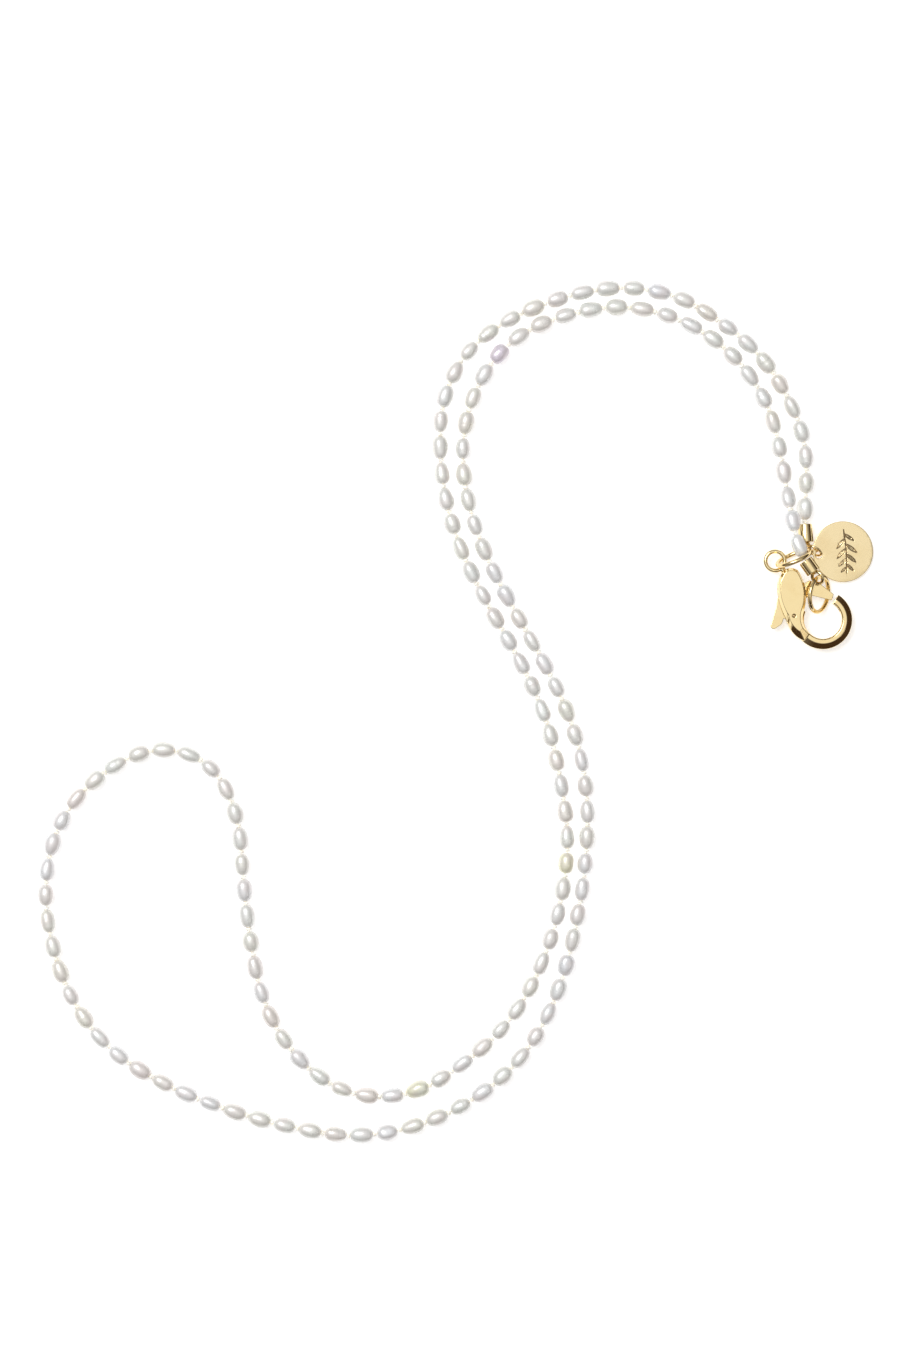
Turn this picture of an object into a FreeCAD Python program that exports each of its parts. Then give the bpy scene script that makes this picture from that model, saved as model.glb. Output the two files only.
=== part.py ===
"""A long knotted strand of rice pearls on silk, with two gold end caps, a lobster clasp and a round charm.

The necklace lies flat on a table, doubled into an S, in millimetres. +Z is up and the table is Z = 0.
The origin is on the table, under the middle of the necklace. The strand starts in the outer end cap,
which carries the jump ring of the clasp, and ends in the inner end cap, which carries the catch ring
that the clasp is closed on.
"""
import FreeCAD, Part
import math
import os

V = FreeCAD.Vector
UP = V(0, 0, 1)

# ---------------------------------------------------------------- silk thread
THREAD_D = 0.45
# The route of the thread, from inside the outer end cap to inside the inner one.
# The pearls' own thickness keeps it off the table.
ROUTE = [
    (70.35, 35.2, 2.02), (70.05, 39.4, 1.68), (70.6, 46.6, 1.66), (70.2, 54.6, 1.66), (67.0, 62.6, 1.66),
    (61.8, 71.0, 1.66), (53.8, 77.8, 1.66), (44.6, 83.4, 1.66), (33.4, 85.2, 1.66), (22.4, 83.2, 1.66),
    (11.4, 79.0, 1.66), (2.2, 72.2, 1.66), (-2.6, 62.4, 1.66), (-3.0, 51.0, 1.66), (-1.4, 40.0, 1.66),
    (2.6, 29.0, 1.66), (8.4, 18.2, 1.66), (14.4, 8.0, 1.66), (18.8, -2.4, 1.66), (21.4, -14.0, 1.66),
    (23.0, -25.8, 1.66), (21.6, -38.0, 1.66), (18.0, -50.0, 1.66), (12.0, -61.4, 1.66), (2.6, -70.2, 1.66),
    (-7.8, -76.8, 1.66), (-20.4, -77.4, 1.66), (-31.2, -70.4, 1.66), (-38.2, -59.2, 1.66), (-40.8, -46.6, 1.66),
    (-42.3, -33.6, 1.66), (-43.0, -21.2, 1.66), (-48.2, -10.2, 1.66), (-59.2, -6.6, 1.66), (-70.4, -11.8, 1.66),
    (-79.0, -21.2, 1.66), (-82.2, -33.4, 1.66), (-81.0, -45.8, 1.66), (-76.6, -58.4, 1.66), (-68.6, -68.4, 1.66),
    (-57.2, -75.2, 1.66), (-45.0, -80.0, 1.66), (-32.4, -83.4, 1.66), (-19.4, -85.4, 1.66), (-6.4, -83.0, 1.66),
    (5.8, -76.8, 1.66), (15.3, -67.6, 1.66), (21.0, -56.2, 1.66), (24.4, -43.6, 1.66), (26.4, -30.6, 1.66),
    (26.9, -17.6, 1.66), (24.6, -4.8, 1.66), (19.4, 7.4, 1.66), (12.7, 18.9, 1.66), (6.6, 30.2, 1.66),
    (2.6, 41.6, 1.66), (1.2, 53.6, 1.66), (4.4, 65.8, 1.66), (12.0, 75.2, 1.66), (23.2, 79.8, 1.66),
    (34.8, 81.4, 1.66), (46.6, 78.2, 1.66), (56.6, 71.0, 1.66), (63.2, 61.0, 1.66), (65.4, 51.4, 1.66),
    (66.6, 43.6, 1.8), (67.5, 37.8, 4.88), (68.75, 31.8, 4.8), (71.2, 28.3, 5.0),
]
RUN_SHARE = 0.45  # the part of the shorter run that an arc uses up

# ---------------------------------------------------------------- pearls and knots
PEARLS = 150
PEARLS_TO_A_NODE = 10
PEARL_D = 3.2
PEARL_L = 4.4
PEARL_BORE_D = 0.8
KNOT_D = 1.3
KNOT_L = 0.64
FIRST_KNOT_AT = 2.7  # from the start of the thread
LAST_KNOT_AT = 2.7  # from the end of the thread
KNOT_CLEAR = 0.03  # between a knot and the thread that it is tied in
# Each pearl is its own size, in turns along the strand: the share of its length and of its thickness.
LENGTH_SHARES = (1.0, 0.94, 1.05, 0.97, 1.08, 0.92, 1.02)
WIDTH_SHARES = (1.0, 1.03, 0.95, 1.0, 0.92)

# ---------------------------------------------------------------- end caps
CAP_D = 2.9
CAP_WALL = 0.35
CAP_END_WALL = 0.5
CAP_CHAMFER = 0.12
EYE_PLAY = 0.45  # all round, between an eye and the wire of the jump ring through it
EYE_WIRE_D = 0.7
EYE_SINK = 0.3  # how deep the eye is soldered into the end of the cap
END_KNOT_CLEAR = 0.22  # between a knot inside a cap and the cap's wall
END_KNOT_L = 1.8
END_KNOT_IN = 0.1  # how much further along the thread than its own radius the knot is
OUTER_CAP_FROM = V(70.2, 37.3, 1.85)
OUTER_EYE_AT = V(70.55, 32.45, 2.25)
OUTER_EYE_FACES = V(0.82, 0, 0.57)
INNER_CAP_FROM = V(70.0, 30.0, 4.9)
INNER_EYE_AT = V(72.4, 26.6, 5.15)
INNER_EYE_FACES = V(-0.669, -0.298, 0.681)

# ---------------------------------------------------------------- jump rings
RING_D = 8.0
RING_WIRE_D = 0.9
EYE_BORE_D = RING_WIRE_D + 2 * EYE_PLAY
CLASP_RING_AT = V(67.81, 30.57, 4.0)
CLASP_RING_LONG = V(0.918, 0.396, 0)
CLASP_RING_TILT = 77.6
CATCH_RING_AT = V(72.88, 23.32, 3.42)
CATCH_RING_LONG = V(-0.174, -0.985, 0)
CATCH_RING_TILT = 54.8

# ---------------------------------------------------------------- clasp
CLASP_T = 4.4
CLASP_FLOOR_GAP = 0.05
CLASP_MID_Z = CLASP_FLOOR_GAP + CLASP_T / 2
CLASP_BEVEL = 0.95
HOOK_AT = V(73.7, 18.24, CLASP_MID_Z)
HOOK_INNER_R = 3.8
HOOK_W = 2.1
HOOK_T = 2.3
HOOK_FLAT_W = 0.72  # the flat band along the inner side of each face
HOOK_RIM_T = 0.8  # the outer rim that is left between the two bevels
HOOK_EASE = 0.23  # the small bevel along the inner side
HOOK_TIP_ANGLE = 58.0
HOOK_ROOT_ANGLE = -205.0
TAIL_EYE_AT = V(64.2, 30.0, CLASP_MID_Z)
TAIL_EYE_BORE_D = 3.0
TAIL_EYE_WIRE_D = 0.85
NECK_D = 1.2
BODY_SHOULDER = V(66.6, 27.2, CLASP_MID_Z)
PIN_AT = V(67.8, 19.0, CLASP_MID_Z)
PIN_D = 0.7
PIN_SINK = 0.05  # how far below the cheeks the ends of the pin are
PIN_CLEAR = 0.03  # between the pin and the lever, on the radius
LEVER_T = 1.0
LEVER_SIDE_CLEAR = 0.1  # between the lever and each cheek
GATE_TIP = (75.9, 23.35)
TIP_GAP = 0.3  # between the gate and the groove in the hook's tip
SPRING_W = 0.8

# ---------------------------------------------------------------- charm
CHARM_D = 12.2
CHARM_T = 0.6
CHARM_EDGE = 0.12
CHARM_HOLE_AT = V(73.057, 31.219, 1.158)
CHARM_LIFT = 3.6  # degrees by which the edge with the hole is raised
CHARM_HOLE_D = 1.4
CHARM_HOLE_EDGE = 0.5  # metal between the hole and the edge
CHARM_HOLE_ANGLE = 188.0
CHARM_RING_D = 3.75
CHARM_RING_WIRE_D = 0.5
CHARM_RING_AT = V(71.93, 32.09, 1.84)
CHARM_RING_FACES = V(0.451, 0.814, -0.366)


def unit(v):
    w = V(v)
    w.normalize()
    return w


# ---------------------------------------------------------------- the path of the thread
class Path:
    """Straight runs joined by tangent arcs, read by distance along it."""

    def __init__(self, points):
        self.pieces = []
        self.radii = []
        last = points[0]
        for before, at, after in zip(points, points[1:], points[2:]):
            a, b = at - before, after - at
            turn = a.getAngle(b)
            reach = RUN_SHARE * min(a.Length, b.Length)
            radius = reach / math.tan(turn / 2)
            self.radii.append(radius)
            start, end = at - unit(a) * reach, at + unit(b) * reach
            inward = unit(unit(b) - unit(a))
            centre = at + inward * (radius / math.cos(turn / 2))
            self.pieces.append((last, start, None))
            self.pieces.append((start, end, (centre, radius, turn, centre - inward * radius)))
            last = end
        self.pieces.append((last, points[-1], None))
        self.lengths = []
        for start, end, arc in self.pieces:
            self.lengths.append(arc[1] * arc[2] if arc else (end - start).Length)
        self.length = sum(self.lengths)

    def at(self, distance):
        """The point at a distance along the path."""
        for (start, end, arc), length in zip(self.pieces, self.lengths):
            if distance <= length or end is self.pieces[-1][1]:
                break
            distance -= length
        share = distance / length
        if not arc:
            return start + (end - start) * share
        centre, radius, turn, _ = arc
        a, b = start - centre, end - centre
        return centre + (a * math.sin((1 - share) * turn) + b * math.sin(share * turn)) * (1 / math.sin(turn))

    def wire(self):
        edges = []
        for start, end, arc in self.pieces:
            if arc:
                edges.append(Part.Arc(start, arc[3], end).toShape())
            else:
                edges.append(Part.LineSegment(start, end).toShape())
        return Part.Wire(edges)


def placed(shape, at, along):
    """A copy of a shape that lies along +X, turned to another direction and moved."""
    copy = shape.copy()
    copy.Placement = FreeCAD.Placement(at, FreeCAD.Rotation(V(1, 0, 0), along))
    return copy


def ring(at, faces, middle_r, wire_d):
    return Part.makeTorus(middle_r, wire_d / 2, at, faces)


def make_thread(path):
    wire = path.wire()
    start = path.at(0)
    profile = Part.Wire(Part.Circle(start, path.at(0.1) - start, THREAD_D / 2).toShape())
    tube = wire.makePipeShell([profile], True, False)
    expected = math.pi * THREAD_D**2 / 4 * path.length
    print(f"thread: {path.length:.1f} mm long, smallest radius {min(path.radii):.1f} mm,"
          f" volume {tube.Volume:.2f} of {expected:.2f} mm3")
    return tube


def drilled_egg(length, width, bore):
    """An ellipsoid along +X, long or flat, with a hole through it from end to end."""
    a, b = length / 2, width / 2
    end = a * math.sqrt(1 - (bore / width) ** 2)
    angle = math.acos(end / a)
    if a > b:
        ellipse = Part.Ellipse(V(0, 0, 0), a, b)
        outside = Part.ArcOfEllipse(ellipse, angle, math.pi - angle).toShape()
    elif a < b:
        ellipse = Part.Ellipse(V(0, b, 0), V(-a, 0, 0), V(0, 0, 0))
        outside = Part.ArcOfEllipse(ellipse, angle - math.pi / 2, math.pi / 2 - angle).toShape()
    else:
        circle = Part.Circle(V(0, 0, 0), UP, b)
        outside = Part.ArcOfCircle(circle, angle, math.pi - angle).toShape()
    bore_line = Part.LineSegment(V(-end, bore / 2, 0), V(end, bore / 2, 0)).toShape()
    return Part.Face(Part.Wire([outside, bore_line])).revolve(V(0, 0, 0), V(1, 0, 0), 360)


def drilled_knot(length, width, bore):
    """A flattened bead along +X with a full round rim and a hole through it."""
    h, rim = length / 2, (width - length) / 2
    profile = Part.Wire([
        Part.LineSegment(V(-h, bore / 2, 0), V(-h, rim, 0)).toShape(),
        Part.Arc(V(-h, rim, 0), V(0, width / 2, 0), V(h, rim, 0)).toShape(),
        Part.LineSegment(V(h, rim, 0), V(h, bore / 2, 0)).toShape(),
        Part.LineSegment(V(h, bore / 2, 0), V(-h, bore / 2, 0)).toShape(),
    ])
    return Part.Face(profile).revolve(V(0, 0, 0), V(1, 0, 0), 360)


def string_up(path, first, last):
    """The pearls and the knots between them, spread over the thread from first to last."""
    pitch = (last - first) / PEARLS
    pearls, knots = [], []
    knot = drilled_knot(KNOT_L, KNOT_D, THREAD_D + 2 * KNOT_CLEAR)
    for n in range(PEARLS + 1):
        at = first + n * pitch
        knots.append(placed(knot, path.at(at), path.at(at + 0.1) - path.at(at - 0.1)))
    room = pitch - KNOT_L - 0.06
    for n in range(PEARLS):
        length = min(PEARL_L * LENGTH_SHARES[n % len(LENGTH_SHARES)], room)
        pearl = drilled_egg(length, PEARL_D * WIDTH_SHARES[n % len(WIDTH_SHARES)], PEARL_BORE_D)
        middle = first + (n + 0.5) * pitch
        a, b = path.at(middle - 0.35 * length), path.at(middle + 0.35 * length)
        pearls.append(placed(pearl, (a + b) * 0.5, b - a))
    return pearls, knots


# ---------------------------------------------------------------- end caps
def make_cap(start, eye_at, eye_faces):
    """A closed tube from its open end at start to the eye that is soldered to its end."""
    along = unit(eye_at - start)
    eye_r = (EYE_BORE_D + EYE_WIRE_D) / 2
    length = (eye_at - start).Length - eye_r - EYE_WIRE_D / 2 + EYE_SINK
    tube = Part.makeCylinder(CAP_D / 2, length, start, along)
    rims = [e for e in tube.Edges if len(e.Vertexes) == 1]
    tube = tube.makeChamfer(CAP_CHAMFER, rims)
    bore = Part.makeCylinder(CAP_D / 2 - CAP_WALL, length - CAP_END_WALL, start, along)
    faces = unit(eye_faces - along * eye_faces.dot(along))
    return tube.cut(bore).fuse(ring(eye_at, faces, eye_r, EYE_WIRE_D)).removeSplitter()


def end_knot(path, distance):
    width = CAP_D - 2 * CAP_WALL - 2 * END_KNOT_CLEAR
    knot = drilled_egg(max(END_KNOT_L, width), width, THREAD_D + 2 * KNOT_CLEAR)
    return placed(knot, path.at(distance), path.at(distance + 0.1) - path.at(distance - 0.1))


def tilted_ring(at, long_axis, tilt, outer_d, wire_d):
    """A jump ring that is level along long_axis, and whose side on the right of it leans up by tilt degrees."""
    long_axis = unit(long_axis)
    lean = long_axis.cross(UP) * math.cos(math.radians(tilt)) + UP * math.sin(math.radians(tilt))
    return ring(at, long_axis.cross(lean), (outer_d - wire_d) / 2, wire_d)


# ---------------------------------------------------------------- clasp
def outline_wire(outline, z):
    """A closed outline at a height. A pair of points in it is an arc through the first to the second."""
    edges = []
    last = outline[0]
    for item in outline[1:] + outline[:1]:
        if isinstance(item[0], tuple):
            through, end = item
            edges.append(Part.Arc(V(*last, z), V(*through, z), V(*end, z)).toShape())
        else:
            end = item
            edges.append(Part.LineSegment(V(*last, z), V(*end, z)).toShape())
        last = end
    return Part.Wire(edges)


def plate(outline, thickness):
    """A flat plate of a thickness about the clasp's middle plane."""
    return Part.Face(outline_wire(outline, CLASP_MID_Z - thickness / 2)).extrude(V(0, 0, thickness))


def make_hook():
    """The hook, an arc with a flat band along its inner side and a wide bevel down to its outer rim."""
    inner, outer = HOOK_INNER_R, HOOK_INNER_R + HOOK_W
    half = HOOK_T / 2
    corners = [
        V(inner, 0, HOOK_EASE - half),
        V(inner + HOOK_EASE, 0, -half),
        V(inner + HOOK_EASE + HOOK_FLAT_W, 0, -half),
        V(outer, 0, -HOOK_RIM_T / 2),
        V(outer, 0, HOOK_RIM_T / 2),
        V(inner + HOOK_EASE + HOOK_FLAT_W, 0, half),
        V(inner + HOOK_EASE, 0, half),
        V(inner, 0, half - HOOK_EASE),
    ]
    face = Part.Face(Part.makePolygon(corners + corners[:1]))
    face.rotate(V(0, 0, 0), UP, HOOK_TIP_ANGLE)
    face.translate(HOOK_AT)
    return face.revolve(HOOK_AT, UP, HOOK_ROOT_ANGLE - HOOK_TIP_ANGLE)


def make_tail():
    """The cast eye and the neck that joins it to the body."""
    middle_r = (TAIL_EYE_BORE_D + TAIL_EYE_WIRE_D) / 2
    neck_to = unit(BODY_SHOULDER - TAIL_EYE_AT)
    start = TAIL_EYE_AT + neck_to * middle_r
    neck = Part.makeCylinder(NECK_D / 2, (BODY_SHOULDER - start).Length, start, neck_to)
    return neck.fuse(ring(TAIL_EYE_AT, UP, middle_r, TAIL_EYE_WIRE_D))


def make_clasp_body():
    side = [
        (65.6, 27.8),
        ((67.2, 28.55), (68.7, 28.1)),
        ((70.15, 24.4), (69.95, 20.2)),
        ((69.65, 17.8), (70.9, 15.4)),
        (70.0, 14.0),
        ((67.8, 15.4), (66.6, 17.8)),
        ((64.9, 22.2), (64.75, 26.0)),
    ]
    face = [
        (65.95, 27.45),
        ((67.25, 28.05), (68.45, 27.65)),
        ((69.7, 24.4), (69.45, 20.7)),
        ((69.05, 18.9), (69.5, 16.6)),
        (69.0, 15.9),
        ((67.6, 17.2), (66.75, 19.2)),
        ((65.3, 22.6), (65.1, 25.8)),
    ]
    body = plate(side, CLASP_T - 2 * CLASP_BEVEL)
    for way in (-1, 1):
        edge_z = CLASP_MID_Z + way * (CLASP_T / 2 - CLASP_BEVEL)
        wires = [outline_wire(side, edge_z), outline_wire(face, edge_z + way * CLASP_BEVEL)]
        body = body.fuse(Part.makeLoft(wires, True, True))
    body = body.fuse([make_hook(), make_tail()]).removeSplitter()
    slot_t = LEVER_T + 2 * LEVER_SIDE_CLEAR
    slot = plate([
        (61.0, 15.6),
        (66.0, 16.9),
        (66.75, 17.6),
        ((67.8, 17.3), (68.95, 17.8)),
        (69.45, 18.8),
        (72.5, 19.8),
        (72.5, 26.5),
        (61.0, 26.5),
    ], slot_t)
    groove_r = (V(*GATE_TIP) - V(PIN_AT.x, PIN_AT.y, 0)).Length + TIP_GAP
    groove = Part.makeCylinder(groove_r, slot_t, PIN_AT - V(0, 0, slot_t / 2), UP, 40)
    rivet_hole = Part.makeCylinder(PIN_D / 2, CLASP_T, PIN_AT - V(0, 0, CLASP_T / 2))
    return body.cut([slot, groove, rivet_hole]).removeSplitter()


def make_clasp_lever():
    lever = plate([
        GATE_TIP,
        (75.5, 22.1),
        (71.4, 23.1),
        ((69.8, 21.9), (69.2, 20.3)),
        (69.2, 19.2),
        ((67.9, 17.6), (66.7, 18.0)),
        (65.9, 18.55),
        (65.5, 17.35),
        (64.2, 16.45),
        ((63.45, 16.55), (63.35, 17.35)),
        (64.35, 21.0),
        (64.6, 22.6),
        (66.2, 23.0),
        (69.2, 25.2),
        (71.0, 26.1),
        (73.2, 25.4),
    ], LEVER_T)
    bore = Part.makeCylinder(PIN_D / 2 + PIN_CLEAR, LEVER_T, PIN_AT - V(0, 0, LEVER_T / 2))
    return lever.cut(bore)


def make_lever_pin():
    length = CLASP_T - 2 * PIN_SINK
    return Part.makeCylinder(PIN_D / 2, length, PIN_AT - V(0, 0, length / 2))


def make_lever_spring():
    """A leaf bent into a V. Its upper arm lies under the shoulder and its lower arm presses on the lever."""
    return plate([
        (65.6, 26.45),
        (68.9, 26.45),
        ((69.15, 26.2), (69.0, 25.95)),
        (66.55, 23.35),
        (66.42, 23.48),
        (68.75, 26.0),
        ((68.9, 26.15), (68.8, 26.27)),
        (65.6, 26.27),
    ], SPRING_W)


# ---------------------------------------------------------------- charm
def make_charm_disc():
    """A thin round tag with eased edges and a hole near its edge, which is lifted by the ring through it."""
    disc = Part.makeCylinder(CHARM_D / 2, CHARM_T, V(0, 0, -CHARM_T / 2))
    rims = [e for e in disc.Edges if len(e.Vertexes) == 1]
    disc = disc.makeChamfer(CHARM_EDGE, rims)
    hole_r = CHARM_D / 2 - CHARM_HOLE_EDGE - CHARM_HOLE_D / 2
    disc = disc.cut(Part.makeCylinder(CHARM_HOLE_D / 2, CHARM_T, V(hole_r, 0, -CHARM_T / 2)))
    disc.rotate(V(0, 0, 0), V(0, -1, 0), CHARM_LIFT)
    disc.rotate(V(0, 0, 0), UP, CHARM_HOLE_ANGLE)
    lifted = FreeCAD.Rotation(V(0, -1, 0), CHARM_LIFT).multVec(V(hole_r, 0, 0))
    hole = FreeCAD.Rotation(UP, CHARM_HOLE_ANGLE).multVec(lifted)
    disc.translate(CHARM_HOLE_AT - hole)
    return disc


# ---------------------------------------------------------------- assembly
def main():
    path = Path([V(*p) for p in ROUTE])
    print("bend radii:", " ".join(f"{r:.0f}" for r in path.radii))
    end_knot_at = CAP_D / 2 - CAP_WALL + END_KNOT_IN
    end_knots = [end_knot(path, end_knot_at), end_knot(path, path.length - end_knot_at)]
    charm_ring_r = (CHARM_RING_D - CHARM_RING_WIRE_D) / 2
    pearls, knots = string_up(path, FIRST_KNOT_AT, path.length - LAST_KNOT_AT)
    nodes = {
        "silk_thread": make_thread(path),
        "thread_end_knots": Part.makeCompound(end_knots),
        "end_cap_outer": make_cap(OUTER_CAP_FROM, OUTER_EYE_AT, OUTER_EYE_FACES),
        "end_cap_inner": make_cap(INNER_CAP_FROM, INNER_EYE_AT, INNER_EYE_FACES),
        "clasp_ring": tilted_ring(CLASP_RING_AT, CLASP_RING_LONG, CLASP_RING_TILT, RING_D, RING_WIRE_D),
        "catch_ring": tilted_ring(CATCH_RING_AT, CATCH_RING_LONG, CATCH_RING_TILT, RING_D, RING_WIRE_D),
        "clasp_body": make_clasp_body(),
        "clasp_lever": make_clasp_lever(),
        "lever_pin": make_lever_pin(),
        "lever_spring": make_lever_spring(),
        "charm_ring": ring(CHARM_RING_AT, CHARM_RING_FACES, charm_ring_r, CHARM_RING_WIRE_D),
        "charm_disc": make_charm_disc(),
    }
    for n in range(0, PEARLS, PEARLS_TO_A_NODE):
        run = f"{n // PEARLS_TO_A_NODE + 1:02d}"
        last = n + PEARLS_TO_A_NODE
        nodes[f"pearls_{run}"] = Part.makeCompound(pearls[n:last])
        nodes[f"silk_knots_{run}"] = Part.makeCompound(knots[n:] if last == PEARLS else knots[n:last])
    return nodes


if __name__ == "__main__":
    os.makedirs("parts", exist_ok=True)
    for name, shape in main().items():
        shape.exportStep(f"parts/{name}.step")
        print(name, len(shape.Solids), "valid" if shape.isValid() else "NOT VALID", f"{shape.Volume:.2f} mm3")
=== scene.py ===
"""A long knotted strand of rice pearls on silk, with gold end caps, jump rings, a lobster clasp and a tag.

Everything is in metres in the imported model's own frame: +Z is up and the table is Z = 0.
"""
import math
import random

import bpy
from mathutils import Matrix, Vector, geometry, noise


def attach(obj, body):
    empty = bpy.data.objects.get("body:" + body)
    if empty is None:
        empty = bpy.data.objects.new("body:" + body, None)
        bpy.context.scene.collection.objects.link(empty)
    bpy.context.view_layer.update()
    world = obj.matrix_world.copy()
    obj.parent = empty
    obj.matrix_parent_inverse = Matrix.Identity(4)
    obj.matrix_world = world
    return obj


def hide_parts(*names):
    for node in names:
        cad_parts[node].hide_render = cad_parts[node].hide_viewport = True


MM = 0.001
UP = Vector((0, 0, 1))

# ---------------------------------------------------------------- silk thread
THREAD_D = 0.45 * MM
THREAD_PLIES = 3
THREAD_TWIST = 1.1 * MM  # along the thread, for one turn of the plies
THREAD_STEP = 0.2 * MM  # along the thread, from one section to the next
THREAD_SIDES = 12
PLY_GROOVE = 0.2  # depth of the groove between two plies, as a share of the radius
# Control points of the thread at rest, from the outer end to the inner one, in millimetres.
ROUTE = [
    (70.35, 35.2, 2.02), (70.05, 39.4, 1.68), (70.6, 46.6, 1.66), (70.2, 54.6, 1.66), (67.0, 62.6, 1.66),
    (61.8, 71.0, 1.66), (53.8, 77.8, 1.66), (44.6, 83.4, 1.66), (33.4, 85.2, 1.66), (22.4, 83.2, 1.66),
    (11.4, 79.0, 1.66), (2.2, 72.2, 1.66), (-2.6, 62.4, 1.66), (-3.0, 51.0, 1.66), (-1.4, 40.0, 1.66),
    (2.6, 29.0, 1.66), (8.4, 18.2, 1.66), (14.4, 8.0, 1.66), (18.8, -2.4, 1.66), (21.4, -14.0, 1.66),
    (23.0, -25.8, 1.66), (21.6, -38.0, 1.66), (18.0, -50.0, 1.66), (12.0, -61.4, 1.66), (2.6, -70.2, 1.66),
    (-7.8, -76.8, 1.66), (-20.4, -77.4, 1.66), (-31.2, -70.4, 1.66), (-38.2, -59.2, 1.66), (-40.8, -46.6, 1.66),
    (-42.3, -33.6, 1.66), (-43.0, -21.2, 1.66), (-48.2, -10.2, 1.66), (-59.2, -6.6, 1.66), (-70.4, -11.8, 1.66),
    (-79.0, -21.2, 1.66), (-82.2, -33.4, 1.66), (-81.0, -45.8, 1.66), (-76.6, -58.4, 1.66), (-68.6, -68.4, 1.66),
    (-57.2, -75.2, 1.66), (-45.0, -80.0, 1.66), (-32.4, -83.4, 1.66), (-19.4, -85.4, 1.66), (-6.4, -83.0, 1.66),
    (5.8, -76.8, 1.66), (15.3, -67.6, 1.66), (21.0, -56.2, 1.66), (24.4, -43.6, 1.66), (26.4, -30.6, 1.66),
    (26.9, -17.6, 1.66), (24.6, -4.8, 1.66), (19.4, 7.4, 1.66), (12.7, 18.9, 1.66), (6.6, 30.2, 1.66),
    (2.6, 41.6, 1.66), (1.2, 53.6, 1.66), (4.4, 65.8, 1.66), (12.0, 75.2, 1.66), (23.2, 79.8, 1.66),
    (34.8, 81.4, 1.66), (46.6, 78.2, 1.66), (56.6, 71.0, 1.66), (63.2, 61.0, 1.66), (65.4, 51.4, 1.66),
    (66.6, 43.6, 1.8), (67.5, 37.8, 4.88), (68.75, 31.8, 4.8), (71.2, 28.3, 5.0),
]

# ---------------------------------------------------------------- pearls and knots
PEARLS = 150
PEARLS_TO_A_RUN = 10
PEARL_D = 3.2 * MM
PEARL_L = 4.4 * MM
PEARL_BORE_R = 0.36 * MM
PEARL_DIP_R = 1.25 * PEARL_BORE_R  # where the outside of a pearl meets its hole
PEARL_ROWS, PEARL_SIDES = 26, 28
PEARL_PLAY = 0.06 * MM  # the least free length between a pearl and its two knots
GROOVED_SHARE = 0.3  # of the pearls, with one to three grooves around
LENGTH_SHARES = (1.0, 0.94, 1.05, 0.97, 1.08, 0.92, 1.02)
WIDTH_SHARES = (1.0, 1.03, 0.95, 1.0, 0.92)
END_KNOT_AT = 2.7 * MM  # the first knot from the start of the thread, and the last one from its end
KNOT_L = 0.64 * MM
KNOT_R = 0.65 * MM
KNOT_PLY_R = 0.21 * MM
LAST_KNOT_AT = 1.2 * MM  # the knot inside an end cap, from the thread's end
LAST_KNOT_L = 1.7 * MM
LAST_KNOT_R = 0.87 * MM
LAST_KNOT_PLY_R = 0.28 * MM
# How far either way the line is read to aim a pearl, as a share of its length, or a knot.
PEARL_REACH = 0.35
KNOT_REACH = 0.3 * MM
PEARL_SEED, COLOUR_SEED, KNOT_SEED = 41, 700, 7

# ---------------------------------------------------------------- end caps and their eyes
CAP_R = 1.45 * MM
CAP_WALL = 0.35 * MM
CAP_END_WALL = 0.5 * MM
CAP_ROUNDING = 0.13 * MM
EYE_R = 1.25 * MM  # to the middle of the wire
EYE_WIRE_R = 0.35 * MM
EYE_SINK = 0.3 * MM  # how deep the eye's wire sits in the closed end
NEAR_AXIS = 0.02 * MM  # the least radius of a cap's turned profiles
SOLDER = [
    (-0.1 * MM, NEAR_AXIS), (-0.1 * MM, 0.95 * MM), (0.0, 0.86 * MM), (0.12 * MM, 0.62 * MM),
    (0.26 * MM, 0.45 * MM), (0.4 * MM, 0.33 * MM), (0.5 * MM, NEAR_AXIS),
]

# ---------------------------------------------------------------- jump rings
RING_SEAM = 0.05 * MM

# ---------------------------------------------------------------- lever pin
PIN_HALF_L = 2.15 * MM
PIN_R = 0.35 * MM
PIN_AT = Vector((67.8, 19.0, 2.25)) * MM
PIN_HEAD = [  # distance past the end of the rod, and radius
    (-0.14 * MM, PIN_R), (-0.06 * MM, 0.31 * MM), (0.0, 0.2 * MM), (0.03 * MM, 0.01 * MM),
]


# ================================================================ meshes
def new_piece(name, verts, faces, material, body):
    """A smooth mesh piece that rides on a body."""
    mesh = bpy.data.meshes.new(name)
    mesh.from_pydata([tuple(v) for v in verts], [], faces)
    mesh.validate()
    mesh.shade_smooth()
    piece = bpy.data.objects.new(name, mesh)
    bpy.context.scene.collection.objects.link(piece)
    mesh.materials.append(material)
    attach(piece, body)
    return piece


class MeshPile:
    """Vertices and faces gathered from several closed shapes."""

    def __init__(self):
        self.verts, self.faces = [], []

    def add(self, verts, faces):
        base = len(self.verts)
        self.verts += verts
        self.faces += [tuple(base + i for i in face) for face in faces]


def grid_faces(rows, around, closed_rows=False):
    """Quads over rows of points. Each row is closed around; the last row may join the first one."""
    faces = []
    for i in range(rows if closed_rows else rows - 1):
        a, b = i * around, ((i + 1) % rows) * around
        for j in range(around):
            k = (j + 1) % around
            faces.append((a + j, a + k, b + k, b + j))
    return faces


def axes_about(direction):
    """Two directions square to a direction and to each other."""
    direction = direction.normalized()
    side = direction.cross(UP if abs(direction.z) < 0.9 else Vector((1, 0, 0))).normalized()
    return side, direction.cross(side)


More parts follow.
